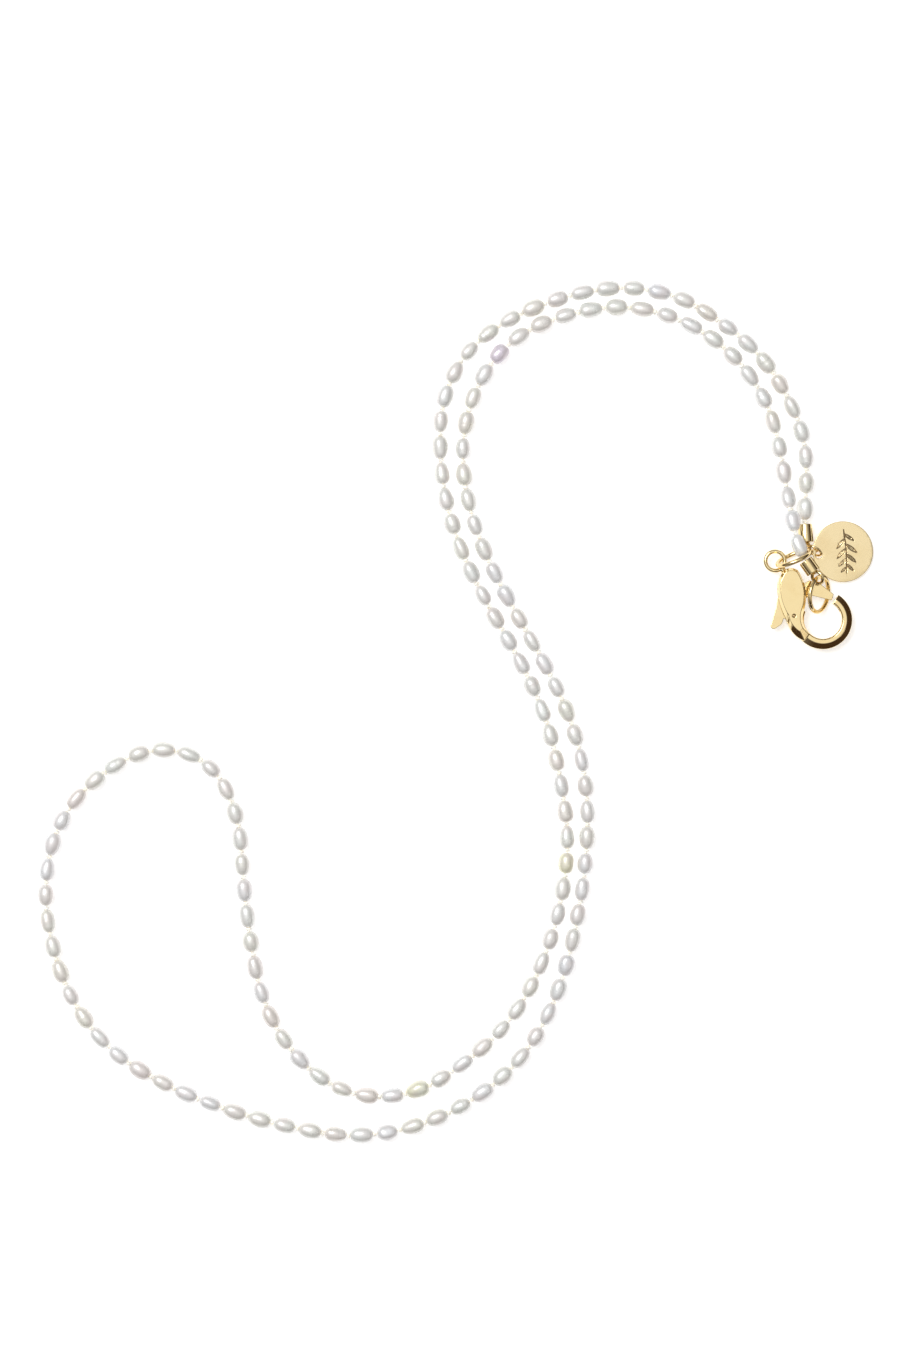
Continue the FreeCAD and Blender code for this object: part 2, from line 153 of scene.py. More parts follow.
# ================================================================ the line of the thread
def read_thread_line():
    """Points close together along the smooth line of the thread."""
    curve = bpy.data.curves.new("thread_line", "CURVE")
    curve.dimensions = "3D"
    spline = curve.splines.new("NURBS")
    spline.points.add(len(ROUTE) - 1)
    for point, (x, y, z) in zip(spline.points, ROUTE):
        point.co = (x * MM, y * MM, z * MM, 1)
    spline.order_u = 3
    spline.use_endpoint_u = True
    spline.resolution_u = 24
    line = bpy.data.objects.new("thread_line", curve)
    mesh = bpy.data.meshes.new_from_object(line)
    points = [v.co.copy() for v in mesh.vertices]
    bpy.data.objects.remove(line)
    bpy.data.curves.remove(curve)
    bpy.data.meshes.remove(mesh)
    return points


class Line:
    """A line of points, read by distance along it."""

    def __init__(self, points):
        self.points = points
        self.marks = [0.0]
        for a, b in zip(points, points[1:]):
            self.marks.append(self.marks[-1] + (b - a).length)
        self.length = self.marks[-1]
        self.last = 0

    def at(self, distance):
        distance = min(max(distance, 0.0), self.length)
        i = self.last if self.marks[self.last] <= distance else 0
        while i < len(self.points) - 2 and self.marks[i + 1] < distance:
            i += 1
        self.last = i
        share = (distance - self.marks[i]) / (self.marks[i + 1] - self.marks[i])
        return self.points[i].lerp(self.points[i + 1], share)


def sweep(line_points, section, closed=False, twist=0.0):
    """A tube along points. section lists its radii around, and turns by twist radians per metre."""
    around = len(section)
    verts = []
    normal = None
    run = 0.0
    count = len(line_points)
    for i, point in enumerate(line_points):
        ahead = line_points[(i + 1) % count] if closed or i < count - 1 else point
        behind = line_points[i - 1] if closed or i else point
        along = (ahead - behind).normalized()
        if normal is None:
            normal = axes_about(along)[0]
        normal = (normal - along * normal.dot(along)).normalized()
        other = along.cross(normal)
        if i:
            run += (point - line_points[i - 1]).length
        for j, radius in enumerate(section):
            angle = 2 * math.pi * j / around + twist * run
            verts.append(point + (normal * math.cos(angle) + other * math.sin(angle)) * radius)
    faces = grid_faces(count, around, closed)
    if not closed:
        faces.append(tuple(range(around - 1, -1, -1)))
        faces.append(tuple(range((count - 1) * around, count * around)))
    return verts, faces


# ================================================================ materials
def socket_kind(value):
    """The kind of group socket that holds a value."""
    if isinstance(value, (int, float)):
        return "NodeSocketFloat"
    return "NodeSocketColor" if len(value) == 4 else "NodeSocketVector"


class Nodes:
    """Adds and links the nodes of one tree."""

    def __init__(self, tree):
        self.tree = tree

    def add(self, kind, links=None, **settings):
        node = self.tree.nodes.new(kind)
        for name, value in settings.items():
            setattr(node, name, value)
        for name, value in (links or {}).items():
            socket = node.inputs[name]
            if isinstance(value, bpy.types.NodeSocket):
                self.tree.links.new(value, socket)
            else:
                socket.default_value = value
        return node

    def math(self, operation, a, b=0.0, clamp=False):
        return self.add("ShaderNodeMath", {0: a, 1: b}, operation=operation, use_clamp=clamp).outputs[0]

    def mix(self, share, a, b, blend="MIX"):
        node = self.add("ShaderNodeMix", data_type="RGBA", blend_type=blend)
        for socket, value in ((node.inputs[0], share), (node.inputs[6], a), (node.inputs[7], b)):
            if isinstance(value, bpy.types.NodeSocket):
                self.tree.links.new(value, socket)
            else:
                socket.default_value = value
        return node.outputs[2]

    def noise(self, vector, scale, detail=3.0, roughness=0.5):
        links = {"Vector": vector, "Scale": scale, "Detail": detail, "Roughness": roughness}
        return self.add("ShaderNodeTexNoise", links)

    def span(self, value, low, high, to_low, to_high):
        links = {"Value": value, "From Min": low, "From Max": high, "To Min": to_low, "To Max": to_high}
        return self.add("ShaderNodeMapRange", links).outputs[0]


def new_group(name, inputs, outputs):
    """A shader node group with named inputs and outputs, and its two end nodes."""
    tree = bpy.data.node_groups.new(name, "ShaderNodeTree")
    for label, value in inputs.items():
        socket = tree.interface.new_socket(label, in_out="INPUT", socket_type=socket_kind(value))
        socket.default_value = value
    for label, value in outputs.items():
        tree.interface.new_socket(label, in_out="OUTPUT", socket_type=socket_kind(value))
    nodes = Nodes(tree)
    return tree, nodes, nodes.add("NodeGroupInput").outputs, nodes.add("NodeGroupOutput").inputs


def new_material(name):
    """A material, its nodes, its Principled shader and the object coordinates."""
    material = bpy.data.materials.new(name)
    material.use_nodes = True
    tree = material.node_tree
    nodes = Nodes(tree)
    shader = tree.nodes["Principled BSDF"]
    place = nodes.add("ShaderNodeTexCoord").outputs["Object"]
    return material, nodes, shader, place


def finish_with(nodes, shader, group, values, height):
    """Places a group in a material and feeds its outputs to the shader. height is the bump's depth in metres."""
    node = nodes.add("ShaderNodeGroup", node_tree=group)
    for label, value in values.items():
        if isinstance(value, bpy.types.NodeSocket):
            nodes.tree.links.new(value, node.inputs[label])
        else:
            node.inputs[label].default_value = value
    nodes.tree.links.new(node.outputs["Colour"], shader.inputs["Base Color"])
    nodes.tree.links.new(node.outputs["Roughness"], shader.inputs["Roughness"])
    bump = nodes.add("ShaderNodeBump", {"Height": node.outputs["Height"], "Distance": height})
    nodes.tree.links.new(bump.outputs[0], shader.inputs["Normal"])


def nacre_group():
    """Layers of nacre: cloudy overtones, fine growth lines around the pearl and small pits."""
    group, n, start, end = new_group(
        "nacre_layers",
        {"Place": (0, 0, 0), "Body": (0.8, 0.8, 0.8, 1), "Rose": (0.8, 0.7, 0.72, 1),
         "Green": (0.72, 0.78, 0.74, 1), "Growth": 0.0, "Overtone": 0.5, "Roughness": 0.3},
        {"Colour": (0, 0, 0, 1), "Roughness": 0.0, "Height": 0.0},
    )
    cloud = n.noise(start["Place"], 420.0, 2.0, 0.45).outputs[0]
    drift = n.noise(start["Place"], 190.0, 1.0).outputs[0]
    rosy = n.math("MULTIPLY", n.span(cloud, 0.42, 0.66, 0.0, 1.0), start["Overtone"])
    leafy = n.math("MULTIPLY", n.span(drift, 0.5, 0.7, 0.0, 0.8), start["Overtone"])
    colour = n.mix(rosy, start["Body"], start["Rose"])
    colour = n.mix(leafy, colour, start["Green"])
    wander = n.math("MULTIPLY", cloud, 5.0)
    lines = n.math("SINE", n.math("ADD", n.math("MULTIPLY", start["Growth"], 26.0), wander))
    fine = n.math("ADD", n.math("MULTIPLY", start["Growth"], 71.0), n.math("MULTIPLY", drift, 19.0))
    fine = n.math("SINE", fine)
    shade = n.span(lines, -1.0, 1.0, 0.97, 1.0)
    grey = n.add("ShaderNodeCombineColor", {0: shade, 1: shade, 2: shade}).outputs[0]
    colour = n.mix(1.0, colour, grey, "MULTIPLY")
    pits = n.noise(start["Place"], 2600.0, 2.0).outputs[0]
    n.tree.links.new(colour, end["Colour"])
    rough = n.math("ADD", start["Roughness"], n.span(cloud, 0.3, 0.7, -0.05, 0.07))
    n.tree.links.new(rough, end["Roughness"])
    height = n.math("ADD", n.math("MULTIPLY", lines, 0.14), n.math("MULTIPLY", fine, 0.06))
    height = n.math("ADD", height, n.math("MULTIPLY", pits, 0.5))
    height = n.math("ADD", height, n.math("MULTIPLY", cloud, 1.2))
    n.tree.links.new(height, end["Height"])
    return group


def gold_group():
    """Polished gold: faint smudges, hairline scratches two ways and a little colour drift."""
    group, n, start, end = new_group(
        "polished_gold",
        {"Place": (0, 0, 0), "Gold": (0.85, 0.68, 0.36, 1), "Deep gold": (0.7, 0.48, 0.2, 1),
         "Roughness": 0.1, "Smudges": 0.05, "Scratches": 0.5, "Scale": 1.0},
        {"Colour": (0, 0, 0, 1), "Roughness": 0.0, "Height": 0.0},
    )
    size = n.add("ShaderNodeVectorMath", {0: start["Place"], 3: start["Scale"]}, operation="SCALE").outputs[0]
    smudge = n.noise(size, 260.0, 4.0, 0.6).outputs[0]
    scratches = []
    for turn, stretch in ((0.6, (1.0, 26.0, 1.0)), (-0.9, (1.0, 34.0, 1.0))):
        turned = n.add("ShaderNodeVectorRotate", {"Vector": size, "Angle": turn}, rotation_type="Z_AXIS")
        turned = turned.outputs[0]
        drawn = n.add("ShaderNodeVectorMath", {0: turned, 1: stretch}, operation="MULTIPLY").outputs[0]
        line = n.noise(drawn, 420.0, 2.0, 0.7).outputs[0]
        scratches.append(n.span(line, 0.62, 0.7, 0.0, 1.0))
    marks = n.math("MULTIPLY", n.math("MAXIMUM", *scratches), start["Scratches"])
    tarnish = n.span(smudge, 0.45, 0.75, 0.0, 0.35)
    n.tree.links.new(n.mix(tarnish, start["Gold"], start["Deep gold"]), end["Colour"])
    rough = n.math("ADD", start["Roughness"], n.math("MULTIPLY", smudge, start["Smudges"]))
    rough = n.math("ADD", rough, n.math("MULTIPLY", marks, 0.07))
    n.tree.links.new(rough, end["Roughness"])
    height = n.math("ADD", n.math("MULTIPLY", smudge, 0.4), n.math("MULTIPLY", marks, -0.5))
    n.tree.links.new(height, end["Height"])
    return group


def silk_group():
    """Twisted silk: fine fibres that lie along the ply, with a soft change of colour."""
    group, n, start, end = new_group(
        "twisted_silk",
        {"Place": (0, 0, 0), "Silk": (0.9, 0.82, 0.68, 1), "Shade": (0.75, 0.6, 0.45, 1),
         "Fibre": 5200.0, "Roughness": 0.6},
        {"Colour": (0, 0, 0, 1), "Roughness": 0.0, "Height": 0.0},
    )
    fibre = n.noise(start["Place"], start["Fibre"], 2.0, 0.7).outputs[0]
    patch = n.noise(start["Place"], 600.0, 2.0).outputs[0]
    mask = n.math("MULTIPLY", fibre, n.span(patch, 0.35, 0.65, 0.3, 1.0), clamp=True)
    n.tree.links.new(n.mix(mask, start["Silk"], start["Shade"]), end["Colour"])
    n.tree.links.new(n.math("ADD", start["Roughness"], n.math("MULTIPLY", fibre, 0.2)), end["Roughness"])
    n.tree.links.new(fibre, end["Height"])
    return group


def pearl_material(nacre):
    """Nacre that reads each pearl's own colour and growth from the mesh."""
    material, n, shader, place = new_material("pearl_nacre")
    body = n.add("ShaderNodeAttribute", attribute_name="body_colour").outputs["Color"]
    growth = n.add("ShaderNodeAttribute", attribute_name="growth").outputs["Fac"]
    finish_with(n, shader, nacre, {
        "Place": place, "Body": body, "Growth": growth, "Overtone": 0.5, "Roughness": 0.3,
        "Rose": (0.92, 0.84, 0.82, 1), "Green": (0.86, 0.91, 0.88, 1)}, 0.008 * MM)
    shader.inputs["Metallic"].default_value = 0.22
    shader.inputs["Coat Weight"].default_value = 0.55
    shader.inputs["Coat Roughness"].default_value = 0.16
    shader.inputs["Thin Film Thickness"].default_value = 380.0
    shader.inputs["Thin Film IOR"].default_value = 1.5
    return material


def gold_material(name, gold, colour, deep, roughness, smudges, scratches, scale, engraved=False):
    """Metal with the gold group's finish. An engraved one is darkened in its cut lines."""
    material, n, shader, place = new_material(name)
    finish_with(n, shader, gold, {
        "Place": place, "Gold": colour, "Deep gold": deep, "Roughness": roughness, "Smudges": smudges,
        "Scratches": scratches, "Scale": scale}, 0.004 * MM)
    shader.inputs["Metallic"].default_value = 1.0
    if engraved:
        shine = shader.inputs["Base Color"].links[0].from_socket
        depth = n.add("ShaderNodeAttribute", attribute_name="engraved").outputs["Fac"]
        cut = n.span(depth, 0.1, 0.8, 0.0, 0.9)
        n.tree.links.new(n.mix(cut, shine, (0.2, 0.12, 0.05, 1)), shader.inputs["Base Color"])
    return material


def silk_material(name, silk, colour, shade, height):
    """Silk with a painted glow: a little emission stands in for the light that comes through it."""
    material, n, shader, place = new_material(name)
    finish_with(n, shader, silk, {"Place": place, "Silk": colour, "Shade": shade}, height)
    shader.inputs["Subsurface Weight"].default_value = 0.8
    shader.inputs["Subsurface Radius"].default_value = (1.0, 0.9, 0.75)
    shader.inputs["Subsurface Scale"].default_value = 0.4 * MM
    # Painted glow: this emission brightens the silk as if light came through it, though the silk is no lamp.
    shader.inputs["Emission Color"].default_value = (1.0, 0.94, 0.82, 1)
    shader.inputs["Emission Strength"].default_value = 0.2
    shader.inputs["Sheen Weight"].default_value = 0.3
    shader.inputs["Sheen Roughness"].default_value = 0.4
    return material


# ================================================================ the strand
def make_thread(line, material):
    """The thread, its plies twisted together."""
    count = int(line.length / THREAD_STEP)
    points = [line.at(line.length * i / count) for i in range(count + 1)]
    section = []
    for j in range(THREAD_SIDES):
        lobe = abs(math.cos(THREAD_PLIES * math.pi * j / THREAD_SIDES))
        section.append(THREAD_D / 2 * (1 - PLY_GROOVE + PLY_GROOVE * lobe))
    verts, faces = sweep(points, section, twist=2 * math.pi / THREAD_TWIST)
    thread = new_piece("thread", verts, faces, material, "strand")
    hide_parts("silk_thread")
    return thread


# The colours of the nacre. A pearl draws one of the usual ones, each as often as it is listed; a few
# pearls, known by their number from 0, have an odd colour for their place.
BODY_COLOURS = {
    "silver": (0.945, 0.915, 0.875),
    "cream": (0.955, 0.91, 0.83),
    "rose": (0.955, 0.885, 0.84),
    "green": (0.92, 0.915, 0.85),
    "blue": (0.895, 0.905, 0.91),
    "honey": (0.94, 0.87, 0.65),
    "lilac": (0.86, 0.79, 0.86),
}
USUAL_COLOURS = ("silver",) * 5 + ("cream",) * 4 + ("rose",) * 3 + ("green",) * 2 + ("blue",) * 2
ODD_COLOURS = {40: "honey", 51: "honey", 72: "rose", 76: "blue", 77: "blue", 78: "rose", 131: "lilac"}


def pearl_colour(number, dice):
    """One pearl's colour, a little lighter or darker than its kind."""
    colour = BODY_COLOURS[ODD_COLOURS.get(number, dice.choice(USUAL_COLOURS))]
    light = dice.uniform(0.95, 1.03)
    return [min(c * light + dice.uniform(-0.012, 0.012), 0.9) for c in colour]


def pearl_shape(length, width, dice):
    """A closed, drilled pearl along +X: its vertices, faces and how far along each vertex is, from -1 to 1."""
    taper = dice.choice((0, 0, 1, 1, -1)) * dice.uniform(0.03, 0.13)
    fullness = dice.uniform(0.54, 0.72)
    grooves = []
    if dice.random() < GROOVED_SHARE:
        for _ in range(dice.choice((1, 2, 2, 3))):
            grooves.append((dice.uniform(-0.7, 0.7), dice.uniform(0.035, 0.07), dice.uniform(0.015, 0.045)))
    oval = dice.uniform(0.95, 1.0)
    lumps = dice.uniform(0.02, 0.055)
    spot = Vector((dice.uniform(0, 90), dice.uniform(0, 90), dice.uniform(0, 90)))
    dent = Vector((dice.uniform(-0.6, 0.6), dice.uniform(-1, 1), dice.uniform(-1, 1))).normalized()
    dent_deep = dice.choice((0, 0, 0.04, 0.07))
    first = math.asin(min(1.0, (PEARL_DIP_R / (width / 2)) ** (1 / fullness)))
    stretch = 1 / math.cos(first)
    verts, along = [], []
    turns = [2 * math.pi * j / PEARL_SIDES for j in range(PEARL_SIDES)]
    for i in range(PEARL_ROWS):
        angle = first + (math.pi - 2 * first) * i / (PEARL_ROWS - 1)
        t = -math.cos(angle) * stretch
        base = math.sin(angle) ** fullness * (1 + taper * t * (1 - 0.3 * t * t))
        ease = min(1.0, (1 - t * t) * 4)
        for centre, wide, deep in grooves:
            base *= 1 - deep * ease * math.exp(-((t - centre) / wide) ** 2)
        for turn in turns:
            way = Vector((t, math.cos(turn), math.sin(turn))).normalized()
            bumpy = noise.noise(way * 1.3 + spot) * lumps + noise.noise(way * 3.1 + spot) * lumps * 0.35
            pressed = dent_deep * max(0.0, way.dot(dent)) ** 6
            radius = max(width / 2 * base * (1 + ease * (bumpy - pressed)), PEARL_DIP_R)
            verts.append(Vector((t * length / 2, radius * math.cos(turn), radius * math.sin(turn) * oval)))
            along.append(t)
    for t in (0.93, -0.93):  # the two ends of the straight hole
        for turn in turns:
            verts.append(Vector((t * length / 2, PEARL_BORE_R * math.cos(turn), PEARL_BORE_R * math.sin(turn))))
            along.append(t)
    return verts, grid_faces(PEARL_ROWS + 2, PEARL_SIDES, closed_rows=True), along


def place_on_line(line, at, reach, roll):
    """The matrix that lays a shape made along +X on the line."""
    a, b = line.at(at - reach), line.at(at + reach)
    along = (b - a).normalized()
    side, other = axes_about(along)
    turned = Matrix((along, side, other)).transposed().to_4x4()
    return Matrix.Translation((a + b) / 2) @ turned @ Matrix.Rotation(roll, 4, "X")


def knot_places(line):
    """The pitch of the pearls, and how far along the line each knot is."""
    pitch = (line.length - 2 * END_KNOT_AT) / PEARLS
    return pitch, [END_KNOT_AT + n * pitch for n in range(PEARLS + 1)]


def make_pearls(line, material):
    """The pearls, in runs that are one piece each."""
    dice = random.Random(PEARL_SEED)
    pitch, knots = knot_places(line)
    room = pitch - KNOT_L - PEARL_PLAY
    runs = []
    for first in range(0, PEARLS, PEARLS_TO_A_RUN):
        pile, growth, colours = MeshPile(), [], []
        for n in range(first, first + PEARLS_TO_A_RUN):
            length = min(PEARL_L * LENGTH_SHARES[n % len(LENGTH_SHARES)], room)
            width = PEARL_D * WIDTH_SHARES[n % len(WIDTH_SHARES)]
            verts, faces, along = pearl_shape(length, width, dice)
            matrix = place_on_line(line, knots[n] + pitch / 2, PEARL_REACH * length, dice.uniform(0, 2 * math.pi))
            pile.add([matrix @ v for v in verts], faces)
            growth += along
            colours += [pearl_colour(n, random.Random(n + COLOUR_SEED))] * len(verts)
        number = first // PEARLS_TO_A_RUN + 1
        run = new_piece(f"pearl_run_{number:02d}", pile.verts, pile.faces, material, "strand")
        mark = run.data.attributes.new("growth", "FLOAT", "POINT")
        mark.data.foreach_set("value", growth)
        paint = run.data.attributes.new("body_colour", "FLOAT_COLOR", "POINT")
        paint.data.foreach_set("color", [c for colour in colours for c in (*colour, 1.0)])
        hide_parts(f"pearls_{number:02d}")
        runs.append(run)
    return runs


def knot_shape(reach, length, ply_r, steps, around):
    """An overhand knot drawn up tight, along +X. reach is its outer radius."""
    ring_r = (reach - ply_r) * 0.68
    swing = reach - ply_r - ring_r
    points = []
    for i in range(steps):
        t = 2 * math.pi * i / steps
        along = (length / 2 - ply_r) * math.sin(3 * t)
        radius = ring_r + swing * math.cos(3 * t)
        points.append(Vector((along, radius * math.cos(2 * t), radius * math.sin(2 * t))))
    return sweep(points, [ply_r] * around, closed=True)


def make_knots(line, material):
    """The knots between the pearls, and one before the first and after the last of them."""
    dice = random.Random(KNOT_SEED)
    _, knots = knot_places(line)
    pile = MeshPile()
    for at in knots:
        reach, length = KNOT_R * dice.uniform(0.9, 1.02), KNOT_L * dice.uniform(1.0, 1.12)
        verts, faces = knot_shape(reach, length, KNOT_PLY_R, steps=54, around=8)
        matrix = place_on_line(line, at, KNOT_REACH, dice.uniform(0, 2 * math.pi))
        pile.add([matrix @ v for v in verts], faces)
    piece = new_piece("knots", pile.verts, pile.faces, material, "strand")
    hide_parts(*[f"silk_knots_{run:02d}" for run in range(1, PEARLS // PEARLS_TO_A_RUN + 1)])
    return piece


def make_end_knots(line, material):
    """The thread's last knots, inside the end caps."""
    pile = MeshPile()
    for at in (LAST_KNOT_AT, line.length - LAST_KNOT_AT):
        verts, faces = knot_shape(LAST_KNOT_R, LAST_KNOT_L, LAST_KNOT_PLY_R, steps=90, around=12)
        matrix = place_on_line(line, at, KNOT_REACH, 0.4)
        pile.add([matrix @ v for v in verts], faces)
    piece = new_piece("end_knots", pile.verts, pile.faces, material, "strand")
    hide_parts("thread_end_knots")
    return piece


# ================================================================ gold findings
def turned_shape(profile, at, along, around=64):
    """A closed shape turned about an axis. profile is a closed list of (distance along, radius)."""
    side, other = axes_about(along)
    along = along.normalized()
    verts = []
    for distance, radius in profile:
        for j in range(around):
            angle = 2 * math.pi * j / around
            verts.append(at + along * distance + (side * math.cos(angle) + other * math.sin(angle)) * radius)
    return verts, grid_faces(len(profile), around, closed_rows=True)


def ring_shape(at, faces_to, middle_r, wire_r, gap=0.0, gap_at=0.0, steps=112, around=24):
    """A wire ring. With a gap it has a seam at the angle gap_at, whose cut ends are slightly smaller."""
    side, other = axes_about(faces_to)

    def point(angle, radius):
        return at + (side * math.cos(angle) + other * math.sin(angle)) * radius

    if not gap:
        points = [point(2 * math.pi * i / steps, middle_r) for i in range(steps)]
        return sweep(points, [wire_r] * around, closed=True)
    half = gap / 2 / middle_r
    points = [point(gap_at + half + (2 * math.pi - 2 * half) * i / steps, middle_r) for i in range(steps + 1)]
    verts, faces = sweep(points, [wire_r] * around)
    for end, inward in ((points[0], 0), (points[-1], steps)):
        for j in range(around):
            k = inward * around + j
            verts[k] = end + (verts[k] - end) * 0.9
    return verts, faces


def make_ring(name, node, body, at, faces_to, outer_d, wire_d, gap_at, material):
    """A jump ring of drawn wire, bent shut."""
    middle_r = (outer_d - wire_d) / 2 * MM
    verts, faces = ring_shape(Vector(at) * MM, Vector(faces_to), middle_r, wire_d / 2 * MM, RING_SEAM, gap_at)
    piece = new_piece(name, verts, faces, material, body)
    piece.data.set_sharp_from_angle(angle=math.radians(50))
    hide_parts(node)


def tilted(long_axis, tilt):
    """The way a ring faces when it is level along long_axis and leans up by tilt degrees across it."""
    long_axis = Vector(long_axis).normalized()
    lean = long_axis.cross(UP) * math.cos(math.radians(tilt)) + UP * math.sin(math.radians(tilt))
    return long_axis.cross(lean)


def rounded(corners, radius, steps=4):
    """A closed profile with each of its corners rounded."""
    points = []
    count = len(corners)
    for i in range(count):
        before, at, after = (Vector(corners[(i + d) % count]) for d in (-1, 0, 1))
        a, b = before - at, after - at
        cut = min(radius, 0.45 * a.length, 0.45 * b.length)
        start, end = at + a.normalized() * cut, at + b.normalized() * cut
        for s in range(steps + 1):
            share = s / steps
            points.append(tuple(start.lerp(at, share).lerp(at.lerp(end, share), share)))
    return points


def make_cap(name, node, start, eye_at, eye_faces, material):
    """A tube closed at one end, with rounded edges and an eye soldered to its closed end."""
    start, eye_at = Vector(start) * MM, Vector(eye_at) * MM
    along = (eye_at - start).normalized()
    length = (eye_at - start).length - EYE_R - EYE_WIRE_R + EYE_SINK
    inside = CAP_R - CAP_WALL
    corners = [
        (0, inside), (0, CAP_R), (length, CAP_R), (length, NEAR_AXIS),
        (length - CAP_END_WALL, NEAR_AXIS), (length - CAP_END_WALL, inside),
    ]
    faces_to = Vector(eye_faces)
    faces_to = faces_to - along * faces_to.dot(along)
    pile = MeshPile()
    pile.add(*turned_shape(rounded(corners, CAP_ROUNDING), start, along))
    pile.add(*ring_shape(eye_at, faces_to, EYE_R, EYE_WIRE_R, steps=72))
    pile.add(*turned_shape(SOLDER, start + along * length, along, around=40))
    piece = new_piece(name, pile.verts, pile.faces, material, "strand")
    piece.data.set_sharp_from_angle(angle=math.radians(60))
    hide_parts(node)


def make_casting(name, node, body, material, voxel, smoothing):
    """A cast and tumbled copy of a plain solid: the same shape with its edges softened. voxel is in metres."""
    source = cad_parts[node]
    mesh = source.data.copy()
    mesh.transform(source.matrix_world)
    piece = bpy.data.objects.new(name, mesh)
    bpy.context.scene.collection.objects.link(piece)
    remesh = piece.modifiers.new("skin", "REMESH")
    remesh.mode = "VOXEL"
    remesh.voxel_size = voxel
    smooth = piece.modifiers.new("tumble", "SMOOTH")
    smooth.iterations = smoothing
    smooth.factor = 0.5
    bpy.context.view_layer.update()
    evaluated = piece.evaluated_get(bpy.context.evaluated_depsgraph_get())
    cast = bpy.data.meshes.new_from_object(evaluated)
    piece.modifiers.clear()
    piece.data = cast
    piece.data.materials.clear()
    piece.data.materials.append(material)
    piece.data.shade_smooth()
    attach(piece, body)
    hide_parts(node)


def make_pin(material):
    """The lever's pin, a rod whose ends are peened to a low dome."""
    low = [(-PIN_HALF_L - past, radius) for past, radius in reversed(PIN_HEAD)]
    high = [(PIN_HALF_L + past, radius) for past, radius in PIN_HEAD]
    verts, faces = turned_shape(low + high, PIN_AT, UP, around=36)
    piece = new_piece("pivot_pin", verts, faces, material, "clasp")
    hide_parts("lever_pin")


# ================================================================ the tag
# Made flat in millimetres, with its hole on +X, then laid in its place.
TAG_D = 12.2
TAG_T = 0.6
TAG_AT = Vector((77.9, 31.9, 0.85))
TAG_LIFT = math.radians(3.6)
TAG_HOLE_TURN = math.radians(188.0)
TAG_HOLE_R = 0.7
TAG_HOLE_EDGE = 0.5  # from the rim to the hole
TAG_HOLE_AT = Vector((TAG_D / 2 - TAG_HOLE_EDGE - TAG_HOLE_R, 0))
RIM_ROUNDING, HOLE_ROUNDING = 0.13, 0.1
RIM_SIDES, HOLE_SIDES = 160, 36
ROUNDING_STEPS = 5
FINE_STEP, COARSE_STEP = 0.085, 0.6  # of the face's points, near the engraving and away from it
ROW_SHARE = 0.866  # of the step, from one row of points to the next
RIM_CLEAR, HOLE_CLEAR = 0.12, 0.22  # no such point lies nearer to the face's edge, or to the hole, than this
LINE_CLEAR = 0.12  # how far from an engraved line the points are still close together
HOLE_TRIM = 0.09  # a triangle whose middle is nearer to the hole than this lies in the hole
SPRIG_HALF_W, SPRIG_HALF_H = 3.6, 5.0
LINE_DEPTH = 0.09
FULL_DEPTH_HALF_W = 0.12  # a line at least this wide is cut to the full depth
FAR = 9.0  # farther than any point of the face is from a line near it
STEM_HALF_W, LEAF_HALF_W, VEIN_HALF_W = 0.13, 0.1, 0.07
# The sprig's leaves: how far up the stem, on which side, and how long.
LEAVES = (
    (0.1, 1, 2.3), (0.2, -1, 2.6), (0.34, 1, 2.8), (0.45, -1, 2.7),
    (0.58, 1, 2.5), (0.69, -1, 2.2), (0.8, 1, 1.9), (0.88, -1, 1.5),
)


def arc_between(a, b, bulge, steps=14):
    """Points on a shallow arc from a to b that bulges to its left."""
    a, b = Vector(a), Vector(b)
    middle = (a + b) / 2 + Vector((-(b - a).y, (b - a).x)) * bulge
    return [a.lerp(middle, i / steps).lerp(middle.lerp(b, i / steps), i / steps) for i in range(steps + 1)]


def sprig_lines():
    """The engraver's lines of a leafy sprig: lists of points, each list with its half width."""
    lines = []
    stem = arc_between((-0.7, -4.3), (-0.1, 4.3), 0.06, 30)
    lines.append((stem, STEM_HALF_W))
    for place, side, size in LEAVES:
        i = int(place * (len(stem) - 1))
        root = stem[i]
        way = (stem[min(i + 1, len(stem) - 1)] - stem[i - 1]).normalized()
        lean = Vector((way.x * 0.68 - side * way.y * 0.73, way.y * 0.68 + side * way.x * 0.73))
        tip = root + lean * size
        lines.append((arc_between(root, tip, 0.22), LEAF_HALF_W))
        lines.append((arc_between(root, tip, -0.22), LEAF_HALF_W))
        lines.append((arc_between(root + lean * size * 0.2, root + lean * size * 0.7, 0.0, 6), VEIN_HALF_W))
    return lines


def engraved_depth(x, y, lines):
    """How deep the engraving is at a point of the tag's face, and how far the nearest line's edge is."""
    spot = Vector((x, y))
    deepest = 0.0
    nearest = FAR
    for points, half in lines:
        if not (min(p.x for p in points) - 0.7 < x < max(p.x for p in points) + 0.7):
            continue
        away = FAR
        for a, b in zip(points, points[1:]):
            run = b - a
            share = min(max((spot - a).dot(run) / run.length_squared, 0.0), 1.0)
            away = min(away, (spot - a - run * share).length)
        nearest = min(nearest, away - half)
        if away < half:
            full = LINE_DEPTH * min(1.0, half / FULL_DEPTH_HALF_W)
            deepest = max(deepest, full * math.sqrt(1 - (away / half) ** 2))
    return deepest, nearest


def unit_circle(count):
    return [(math.cos(2 * math.pi * i / count), math.sin(2 * math.pi * i / count)) for i in range(count)]


